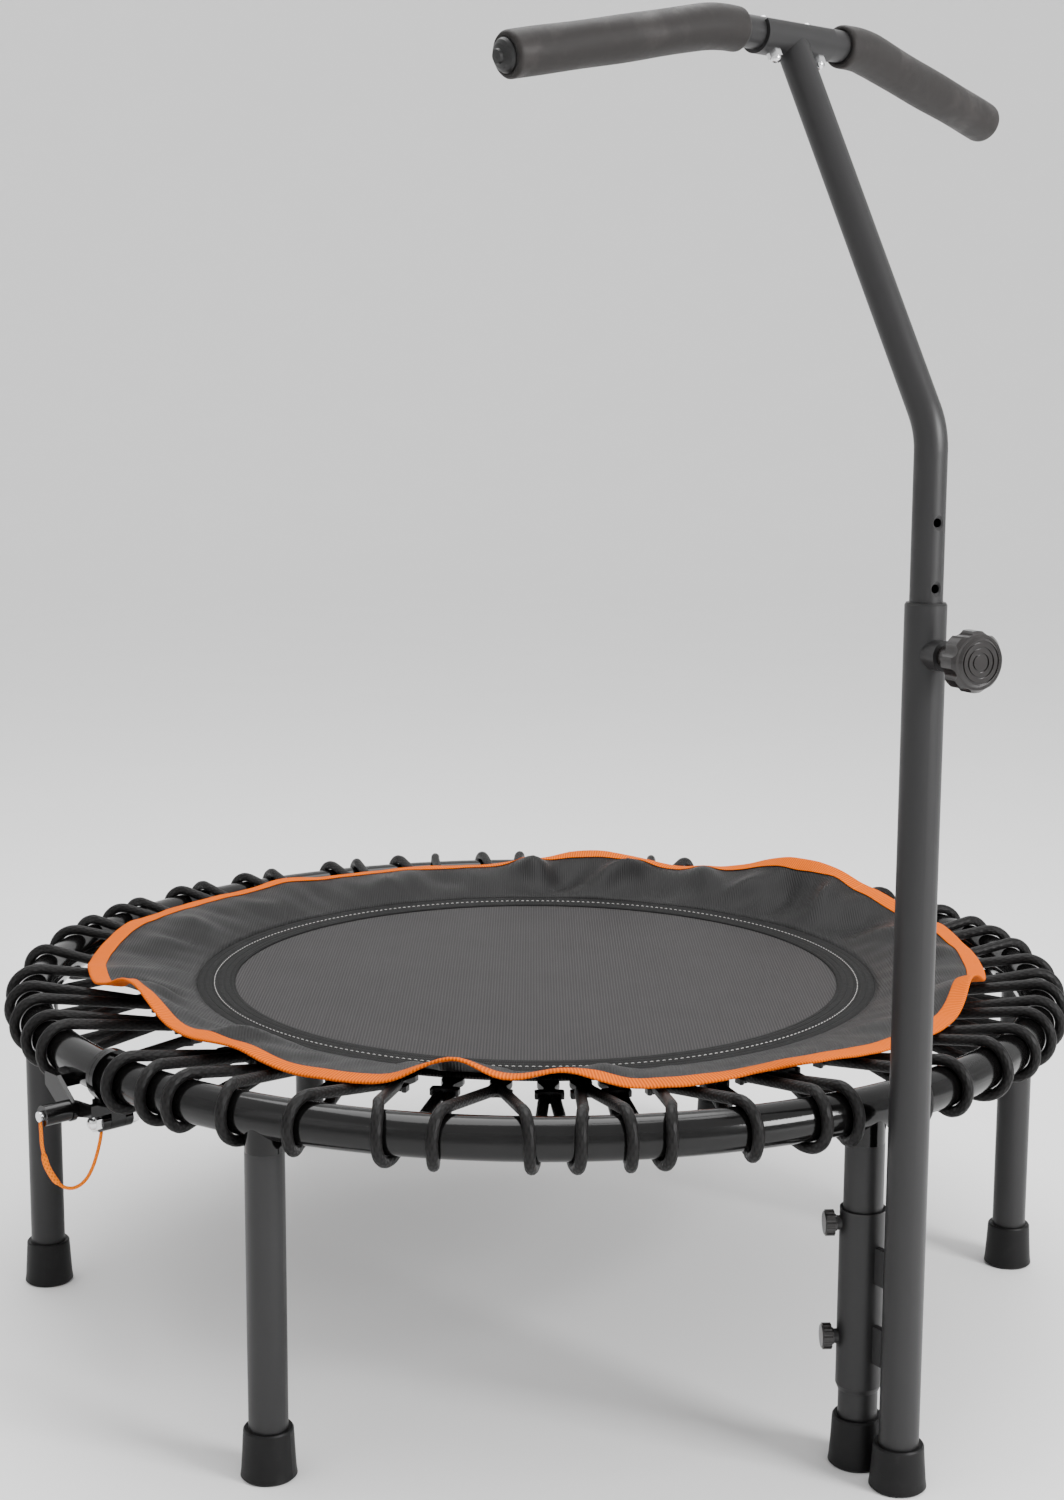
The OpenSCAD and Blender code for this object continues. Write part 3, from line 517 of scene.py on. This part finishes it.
def lanyard(side):
    """A braided cord from the pin's pull end down in a loop to the hinge lug, with a sleeve on it."""
    sign = -1 if side == "left" else 1
    route = [centre + fold_spin @ Vector((sign * (ring_r + out / 1000), past / 1000, up / 1000))
             for out, past, up in LANYARD]
    line = smooth_line(route, 0.0015)
    cord = tube_piece(side + "_lanyard_cord", [line], LANYARD_D / 2, 10, "lanyard_cord")
    first, last = (int(share * len(line)) for share in SLEEVE_SPAN)
    sleeve_line = line[first:last]
    rise = np.linspace(0, 6, len(sleeve_line))
    ease = np.clip(np.minimum(rise, rise[::-1]), 0, 1)
    sleeve_radius = LANYARD_D * (0.62 + 0.28 * np.sqrt(ease))
    sleeve = tube_piece(side + "_lanyard_sleeve", [sleeve_line], sleeve_radius, 14, "lanyard_cord")
    for piece in (cord, sleeve):
        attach(piece, side + "_lock")
    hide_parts(side + "_lanyard")


# ---------------------------------------------------------------------------------------------
# Elastic cord and hooks
# ---------------------------------------------------------------------------------------------
# Where the cord goes round the frame tube, as angles from the fold line
FRONT_WRAPS = [
    3, 8, 11.5, 18, 25, 33.5, 38.5, 47, 51.5, 56, 59.5, 67.5, 74.5, 78, 86.5,
    92.5, 100, 107, 113, 119, 125, 131, 136.5, 145.5, 151, 157, 163, 169, 175,
]
BACK_WRAPS = [
    9, 14.5, 26, 31.5, 37.5, 43, 49.5, 55.5, 61.5, 67.5, 73, 77.5, 86, 91,
    97.5, 102, 109.5, 114, 120, 126.5, 135, 146, 152, 158.5, 164.5, 169.5,
]
CORD_R = 0.005
HOOK_LEN = 0.034
HOOK_BOTTOM, HOOK_TOP = -0.0025, 0.0035   # heights from the frame tube's centre
CORD_BELOW, CORD_ABOVE = -0.0035, 0.0045  # where the cord passes a hook
WRAP_TURNS = np.linspace(-102, 101, 23)   # degrees round the frame tube, from its outer side
WRAP_LEAN = 0.19                          # share of the way to the next hook, as the cord leaves the tube
wrap_r = tube_r + CORD_R + 0.0003


def hook_angles(wraps):
    """One hook between each two wraps, and one past each end."""
    between = [(a + b) / 2 for a, b in zip(wraps[:-1], wraps[1:])]
    return [max(2, wraps[0] - 3)] + between + [min(178, wraps[-1] + 3)]


def filled(route):
    """The route with points added along its long straight runs."""
    gap = 0.006
    out = [route[0]]
    for a, b in zip(route[:-1], route[1:]):
        count = max(1, round(np.linalg.norm(b - a) / gap))
        out += [a + (b - a) * k / count for k in range(1, count + 1)]
    return out


def in_hook(angle, side, below):
    """Where the cord passes a hook: a point behind it and one at its end, on its side 1 or -1."""
    height = CORD_BELOW if below else CORD_ABOVE
    behind = polar(mat_r + HOOK_LEN - 0.0075, angle + side * 0.35, height)
    end = polar(mat_r + HOOK_LEN + 0.001, angle + side * 0.75, height)
    return [behind, end]


def cord_route(wraps, base):
    """The elastic cord of one half: hook, round the frame tube, next hook, and back round the other way.
    It leans towards each hook as it leaves the tube."""
    hooks = hook_angles(wraps)
    line = []
    for k, angle in enumerate(wraps):
        upward = k % 2 == 0
        line += in_hook(base + hooks[k], 1, upward)
        for i, turn in enumerate(WRAP_TURNS if upward else WRAP_TURNS[::-1]):
            t = 2 * i / (len(WRAP_TURNS) - 1) - 1
            gap = (hooks[k] if t < 0 else hooks[k + 1]) - angle
            a = math.radians(turn)
            place = base + angle + WRAP_LEAN * gap * abs(t) ** 2.2
            line.append(polar(ring_r + wrap_r * math.cos(a), place, wrap_r * math.sin(a)))
        line += reversed(in_hook(base + hooks[k + 1], -1, not upward))
    return filled(line)


def elastic_cord(half, wraps, base):
    """One half's cord. base is the angle, from +X, at which its wraps start to count."""
    route = cord_route(wraps, base)
    piece = tube_piece(half + "_elastic_cord", [smooth_line(route, 0.0028)], CORD_R, 12, "elastic_cord")
    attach(piece, half + "_frame")
    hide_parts(half + "_bungees")


def hook_shape():
    """A moulded hook's outline, in metres: out from the mat's edge (x) and to each side (y)."""
    half = [(-0.004, 0.0095), (0.004, 0.0095), (0.016, 0.0052), (0.0225, 0.0052), (0.0235, 0.0105),
            (0.0245, 0.0125), (0.033, 0.0125), (HOOK_LEN, 0.0115), (HOOK_LEN, 0.0092), (0.0315, 0.0075)]
    return [(x, -y) for x, y in half] + [(0.0305, 0.0)] + half[::-1]


def mat_hooks(half, wraps, base):
    """The hooks of one half: extruded outlines with bevelled edges."""
    outline = hook_shape()
    count = len(outline)
    points, faces = [], []
    for angle in hook_angles(wraps):
        start = len(points)
        a = math.radians(base + angle)
        out, aside = np.array([math.cos(a), math.sin(a), 0]), np.array([-math.sin(a), math.cos(a), 0])
        origin = np.array(centre) + out * mat_r
        for height in (HOOK_BOTTOM, HOOK_TOP):
            points += [origin + out * x + aside * y + np.array([0, 0, height]) for x, y in outline]
        faces += [range(start + count - 1, start - 1, -1), range(start + count, start + 2 * count)]
        faces += tube_faces(2, count, start)
    piece = mesh_piece(half + "_moulded_hooks", points, faces, "hook_plastic", smooth=False)
    bevel = piece.modifiers.new("round_edges", "BEVEL")
    bevel.width = 0.0008
    bevel.segments = 2
    bevel.harden_normals = True
    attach(piece, half + "_frame")
    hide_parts(half + "_mat_hooks")


# ---------------------------------------------------------------------------------------------
# Mat, band, skirt and binding: whole rings of cloth
# ---------------------------------------------------------------------------------------------
AROUND = 360


def ring_cloth(name, slot, rows, uv_of):
    """A closed sheet swept round the frame's middle: rows gives each of its section's points as
    a function of the angle, and uv_of gives the UV from the angle and the point's number."""
    points, faces, uv = [], [], []
    count = len(rows)
    for k in range(AROUND):
        angle = 360 * k / AROUND
        points += [row(angle) for row in rows]
    for k in range(AROUND):
        n = (k + 1) % AROUND
        for j in range(count):
            m = (j + 1) % count
            faces.append((k * count + j, k * count + m, n * count + m, n * count + j))
            for turn, which in ((k, j), (k, m), (k + 1, m), (k + 1, j)):
                uv.append(uv_of(360 * turn / AROUND, which))
    return mesh_piece(name, points, faces, slot, uv)


def bend_over_fold(piece):
    """Bakes the piece's placement into its mesh."""
    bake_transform(piece)


def jumping_mat():
    """The woven bed: a tight disc with a top and an underside, closed round its edge."""
    thick, rings = 0.0022, 34
    edge = mat_r - 0.002
    lower = 1 + rings * AROUND
    points, faces = [], []
    for height in (mat_top - centre.z, mat_top - centre.z - thick):
        points.append(polar(0, 0, height))
        points += [polar(edge * (i / rings), 360 * k / AROUND, height)
                   for i in range(1, rings + 1) for k in range(AROUND)]
    for k in range(AROUND):
        n = (k + 1) % AROUND
        faces += [(0, 1 + k, 1 + n), (lower, lower + 1 + n, lower + 1 + k)]
    for i in range(rings - 1):
        inner, outer = 1 + i * AROUND, 1 + (i + 1) * AROUND
        faces += disc_faces(inner, outer, AROUND) + disc_faces(lower + outer, lower + inner, AROUND)
    rim = 1 + (rings - 1) * AROUND
    faces += disc_faces(rim, lower + rim, AROUND)
    uv = [(p[0] - centre.x, p[1] - centre.y) for p in points]
    piece = mesh_piece("jumping_mat", points, faces, "mat_weave", uv)
    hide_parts("front_mat", "back_mat")
    bend_over_fold(piece)


def stitched_band():
    """Black webbing sewn round the mat, under the skirt's seam, thinner at its two rims."""
    top, rim = mat_top - centre.z, 0.0008
    outer = seam_r + BAND_PAST_SEAM
    flat = outer - BAND_IN_R - 2 * rim
    section = [(BAND_IN_R, top - 0.0002), (BAND_IN_R + rim, top + 0.0011)]
    section += [(BAND_IN_R + rim + flat * i / 12, top + 0.0013) for i in range(1, 12)]
    section += [(outer - rim, top + 0.0011), (outer, top - 0.0002)]
    rows = [lambda angle, r=r, z=z: polar(r, angle, z) for r, z in section]

    def band_uv(angle, row):
        return math.radians(angle) * seam_r, section[row][0] - BAND_IN_R

    piece = ring_cloth("stitched_band", "band_webbing", rows, band_uv)
    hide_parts("front_mat_band", "back_mat_band")
    bend_over_fold(piece)


def white_stitching():
    """A ring of raised stitches on the band, each a short thread that dips at both ends."""
    radius, pitch, long, thick = 0.3195, 0.0058, 0.0030, 0.0006
    height = mat_top - centre.z + 0.0014
    arch = ((-1, -0.0004), (-0.7, 0.0001), (0, 0.0003), (0.7, 0.0001), (1, -0.0004))
    count = round(2 * math.pi * radius / pitch)
    half = math.degrees(long / 2 / radius)
    lines = [[polar(radius, 360 * k / count + half * s, height + rise) for s, rise in arch]
             for k in range(count)]
    piece = tube_piece("white_stitching", lines, thick / 2, 6, "band_webbing", MATERIALS["white_thread"])
    bend_over_fold(piece)


# The skirt's ruffles: angle from +X, lift of the edge in millimetres, and half-width in degrees
RUFFLES = [
    (11, 38, 14), (47, 20, 9), (98, 5, 5), (133, 7, 8), (160, 8, 6), (179, 32, 11), (200, 10, 6),
    (227.5, 23, 5), (239, 15, 5), (265, 6, 12), (305, 22, 7), (340, 8, 6), (355, 5, 5),
]
# Its creases: angle, place from seam (0) to edge (1), height in millimetres, half-widths both ways,
# and how far each leans round the frame as it goes outwards, in degrees
CREASES = [
    (57, 0.60, 17, 2.6, 0.30, 5), (51, 0.42, -9, 3.0, 0.24, -4), (42, 0.52, 14, 2.4, 0.30, -8),
    (35, 0.40, -8, 2.8, 0.28, 5), (27, 0.60, 13, 2.6, 0.28, 8), (18, 0.42, 10, 3.0, 0.26, -7),
    (10, 0.50, -9, 2.8, 0.28, 4), (2, 0.55, 12, 2.6, 0.30, 6), (352, 0.50, -8, 3.2, 0.30, 4),
    (343, 0.50, 8, 2.8, 0.28, -6), (330, 0.55, 7, 3.0, 0.30, -5), (312, 0.60, -6, 3.6, 0.30, 4),
    (290, 0.50, 4, 3.0, 0.28, 5), (262, 0.55, -4, 3.4, 0.28, -4), (245, 0.60, 8, 2.8, 0.30, -6),
    (236, 0.45, -6, 2.6, 0.26, 4), (221, 0.50, 8, 2.6, 0.30, 5), (208, 0.55, -6, 2.8, 0.28, -4),
    (197, 0.55, 11, 2.6, 0.30, -7), (187, 0.45, -8, 2.8, 0.26, 5), (174, 0.60, 11, 2.4, 0.30, 6),
    (166, 0.45, -7, 2.8, 0.28, -4), (156, 0.45, 5, 2.4, 0.24, 6), (147, 0.50, -4, 2.6, 0.26, -5),
    (138, 0.45, 5, 2.6, 0.22, 5), (127, 0.45, 4, 3.0, 0.22, -6), (116, 0.45, -3, 3.0, 0.24, 4),
    (108, 0.42, 3, 2.6, 0.20, 5), (96, 0.50, -3, 2.8, 0.26, -4), (84, 0.42, 4, 3.0, 0.20, -5),
    (72, 0.50, -5, 3.0, 0.26, 4),
]
# Small ripples: height in metres, waves round the frame, and in radians their shift and their turn
# from seam to edge
RIPPLES = [(0.0017, 9, 1.3, 1), (0.0013, 17, 0.4, 4), (0.0009, 31, 0, 5), (0.0005, 67, 0, -2)]
SKIRT_W = 0.105
SKIRT_THICK = 0.0012
SKIRT_SEAT = 0.0016   # height of its seam over the mat
EDGE_RISE = 0.0165    # height of its edge over its seam, between the ruffles
ARCH = 1.9            # radians of the sine that its section follows from seam to edge


def short_way(turn):
    """A turn in degrees, brought between -180 and 180."""
    return (turn + 180) % 360 - 180


def edge_lift(angle):
    """How far the skirt's edge stands above its usual height."""
    lift = 0
    for middle, height, wide in RUFFLES:
        off = short_way(angle - middle)
        lift += height * math.exp(-(off / wide) ** 2)
    return lift / 1000


def creases(angle, share):
    """How far the cloth stands out of its smooth shape at a place on the skirt."""
    height = 0
    for middle, seat, high, wide, deep, lean in CREASES:
        off = short_way(angle - middle - lean * (share - seat))
        height += high * math.exp(-(off / wide) ** 2 - ((share - seat) / deep) ** 2)
    return height / 1000


def skirt_point(angle, share, lower=False):
    """A point of the skirt: share is 0 at its seam and 1 at its edge. It arches and droops a little."""
    lift = edge_lift(angle)
    rise = EDGE_RISE * math.sin(ARCH * share) / math.sin(ARCH) + lift * share ** 1.7
    slope = math.asin(max(-0.9, min(0.9, (EDGE_RISE + lift) / SKIRT_W)))
    radius = seam_r + SKIRT_W * share * (1 - (1 - math.cos(slope)) * share)
    a = math.radians(angle)
    folds = sum(high * math.sin(waves * a + shift + turn * share) for high, waves, shift, turn in RIPPLES)
    folds *= math.sin(math.pi * min(1, share * 1.1)) ** 0.8 if share < 0.86 else 0.38
    height = mat_top - centre.z + SKIRT_SEAT + rise + folds + creases(angle, share) * min(1, 6 * share)
    return polar(radius, angle, height - (SKIRT_THICK if lower else 0))


def loose_skirt():
    """The cloth ring from the seam to its ruffled edge: its top going out, its underside coming back."""
    steps = 18
    shares = [i / steps for i in range(steps + 1)]
    rows = [lambda angle, s=s: skirt_point(angle, s) for s in shares]
    rows += [lambda angle, s=s: skirt_point(angle, s, True) for s in reversed(shares)]

    def skirt_uv(angle, row):
        share = (shares + shares[::-1])[row]
        r = seam_r + SKIRT_W * share
        return r * math.cos(math.radians(angle)), r * math.sin(math.radians(angle))

    piece = ring_cloth("loose_skirt", "skirt_mesh", rows, skirt_uv)
    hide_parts("front_skirt", "back_skirt")
    bend_over_fold(piece)


def binding():
    """Orange tape folded over the skirt's edge: its outer face, then its inner face back again."""
    wide, thick, gap = 0.0165, 0.0007, 0.0008

    def row(share, off):
        """One point of the tape's section: share as in skirt_point, and off square to the cloth."""
        def place(angle):
            p, q = skirt_point(angle, min(share, 1)), skirt_point(angle, min(share, 1) - 0.03)
            out = (p - q) / np.linalg.norm(p - q)
            a = math.radians(angle)
            normal = np.cross(out, np.array([-math.sin(a), math.cos(a), 0]))
            middle = p - np.array([0, 0, SKIRT_THICK / 2]) + out * (share - min(share, 1)) * SKIRT_W
            return middle + normal * off
        return place

    def fold(off, past):
        """One face of the folded tape, from its upper hem round the edge to its lower hem."""
        upper = [(1 - wide / SKIRT_W * t, off) for t in (1, 0.94, 0.7, 0.45, 0.2, 0.03)]
        turn = [(1 + past * c / SKIRT_W, off * s) for c, s in ((0.7, 0.7), (1, 0), (0.7, -0.7))]
        return upper + turn + [(share, -height) for share, height in reversed(upper)]

    section = fold(gap + thick, 0.0019) + fold(gap, 0.0012)[::-1]
    rows = [row(share, off) for share, off in section]

    def tape_uv(angle, which):
        return math.radians(angle) * skirt_r, section[which][0] * SKIRT_W

    piece = ring_cloth("edge_binding", "binding_tape", rows, tape_uv)
    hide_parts("front_binding", "back_binding")
    bend_over_fold(piece)


# ---------------------------------------------------------------------------------------------
# Foam grips
# ---------------------------------------------------------------------------------------------
STEM_TURN, STEM_SLANT, BAR_ROLL, ARM_BEND = (math.radians(a) for a in (9, 26.6, 25.4, 12.8))
BEND_H, SLANT_LEN = 0.8615, 0.341                  # the stem's bend over the floor, and its slanted part
BAR_HALF, ARM_LEN, BAR_R = 0.088, 0.2005, 0.0127   # from the stem to the arm's bend, and the arm
BAR_BEND_R = 0.15
GRIP_START, GRIP_R = 0.061, 0.0175
GRIP_STEP = 0.002
FIT = 0.0002   # clearance at each face of the foam

saddle_frame = (Matrix.Translation((centre.x, post_y, 0)) @ Matrix.Rotation(STEM_TURN, 4, "Z")
                @ Matrix.Translation((0, 0, BEND_H)) @ Matrix.Rotation(-STEM_SLANT, 4, "X")
                @ Matrix.Translation((0, 0, SLANT_LEN)))
bar_frame = saddle_frame @ Matrix.Rotation(STEM_SLANT + BAR_ROLL, 4, "X")


def bar_line(start, end):
    """The bar's centreline on its +X side, from start metres along it to end, with a round bend."""
    reach = BAR_BEND_R * math.tan(ARM_BEND / 2)
    arc = BAR_BEND_R * ARM_BEND
    out = []
    for along in np.linspace(start, end, round((end - start) / GRIP_STEP) + 1):
        if along < BAR_HALF - reach:
            out.append((along, 0, 0))
        elif along < BAR_HALF - reach + arc:
            t = (along - BAR_HALF + reach) / BAR_BEND_R
            out.append((BAR_HALF - reach + BAR_BEND_R * math.sin(t), 0, -BAR_BEND_R * (1 - math.cos(t))))
        else:
            past = along - BAR_HALF - arc + 2 * reach
            out.append((BAR_HALF + past * math.cos(ARM_BEND), 0, -past * math.sin(ARM_BEND)))
    return np.array(out)


def foam_grip(side):
    """A foam sleeve pushed onto the bar, with rounded lips and the soft dents of use."""
    line = bar_line(GRIP_START, BAR_HALF + ARM_LEN - 2 * FIT)
    sign = -1 if side == "left" else 1
    sides, count = 40, len(line)
    lip_length, lip_depth = 0.004, 0.0016
    from_end = np.minimum(np.arange(count), np.arange(count)[::-1]) * GRIP_STEP
    rounded = np.clip(from_end / lip_length, 0, 1)
    lip = lip_depth * (1 - np.sqrt(1 - (1 - rounded) ** 2))
    normal, binormal = frames_along(line)
    turn = np.arange(sides) * 2 * math.pi / sides

    def at(k, t, radius):
        """The point at this turn round the line's point number k."""
        return line[k] + radius * (math.cos(t) * normal[k] + math.sin(t) * binormal[k])

    points = []
    for k in range(count):
        for t in turn:
            soft = 0.00022 * math.sin(3 * t + 40 * line[k][0]) + 0.00018 * math.sin(2 * t - 75 * line[k][0])
            points.append(at(k, t, GRIP_R - lip[k] + soft * rounded[k] - FIT))
    start = len(points)
    points += [at(k, t, BAR_R + FIT) for k in (0, count - 1) for t in turn]
    faces = tube_faces(count, sides)
    last = (count - 1) * sides
    for j in range(sides):
        n = (j + 1) % sides
        faces.append((j, start + j, start + n, n))
        faces.append((last + j, last + n, start + sides + n, start + sides + j))
        faces.append((start + j, start + sides + j, start + sides + n, start + n))
    placed = [bar_frame @ Vector((sign * p[0], p[1], p[2])) for p in points]
    if sign < 0:
        faces = [tuple(reversed(f)) for f in faces]
    piece = mesh_piece(side + "_foam_grip", placed, faces, "foam_grip")
    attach(piece, "handle")
    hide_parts(side + "_grip")


# ---------------------------------------------------------------------------------------------
# Studio
# ---------------------------------------------------------------------------------------------
def studio_floor():
    """A pale floor that curves up into a pale wall all round."""
    wall, wall_top, curve, sides = 13.0, 9.0, 5.0, 96
    profile = [(r, 0.0) for r in (1.0, 2.0, 4.0, 6.0)]
    profile += [(wall - curve + curve * math.sin(a), curve - curve * math.cos(a))
                for a in np.linspace(0, math.pi / 2, 16)]
    profile.append((wall, wall_top))
    turns = [2 * math.pi * k / sides for k in range(sides)]
    points, faces = [(0.0, 0.0, 0.0)], [(0, 1 + k, 1 + (k + 1) % sides) for k in range(sides)]
    for radius, height in profile:
        points += [(radius * math.cos(turn), radius * math.sin(turn), height) for turn in turns]
    for row in range(len(profile) - 1):
        faces += disc_faces(1 + row * sides, 1 + (row + 1) * sides, sides)
    mesh = bpy.data.meshes.new("floor")
    mesh.from_pydata(points, [], faces)
    mesh.polygons.foreach_set("use_smooth", [True] * len(mesh.polygons))
    floor = bpy.data.objects.new("floor", mesh)
    bpy.context.scene.collection.objects.link(floor)
    s = Shader("studio_floor", Roughness=0.7, Specular_IOR_Level=0.2)
    speck = s.noise(3, 3)
    mesh.materials.append(s.set(s.mix(speck, (0.90, 0.90, 0.90), (0.93, 0.93, 0.93))))


def studio_light():
    """White light from all round, and three soft square lamps that face the trampoline's middle."""
    world = bpy.data.worlds.new("studio")
    bpy.context.scene.world = world
    world.use_nodes = True
    background = world.node_tree.nodes["Background"]
    background.inputs["Color"].default_value = (1, 1, 1, 1)
    background.inputs["Strength"].default_value = 1.25
    aim = Vector((0, 0, 0.4))
    for name, place, size, power in (
        ("overhead", (0.2, 0.6, 3.2), 2.4, 90),
        ("key", (1.0, -2.9, 1.6), 1.0, 115),
        ("fill", (-3.0, -0.6, 1.8), 1.6, 5),
    ):
        data = bpy.data.lights.new(name, "AREA")
        data.shape = "SQUARE"
        data.size = size
        data.energy = power
        lamp = bpy.data.objects.new(name, data)
        lamp.location = place
        lamp.rotation_mode = "QUATERNION"
        lamp.rotation_quaternion = (aim - Vector(place)).to_track_quat("-Z", "Y")
        bpy.context.scene.collection.objects.link(lamp)


make_camera()
lanyard("left")
lanyard("right")
finish_cad_nodes()
studio_floor()
studio_light()
for frame_half in (("front", FRONT_WRAPS, 180 + FOLD_TURN), ("back", BACK_WRAPS, FOLD_TURN)):
    elastic_cord(*frame_half)
    mat_hooks(*frame_half)
jumping_mat()
stitched_band()
white_stitching()
loose_skirt()
binding()
foam_grip("left")
foam_grip("right")
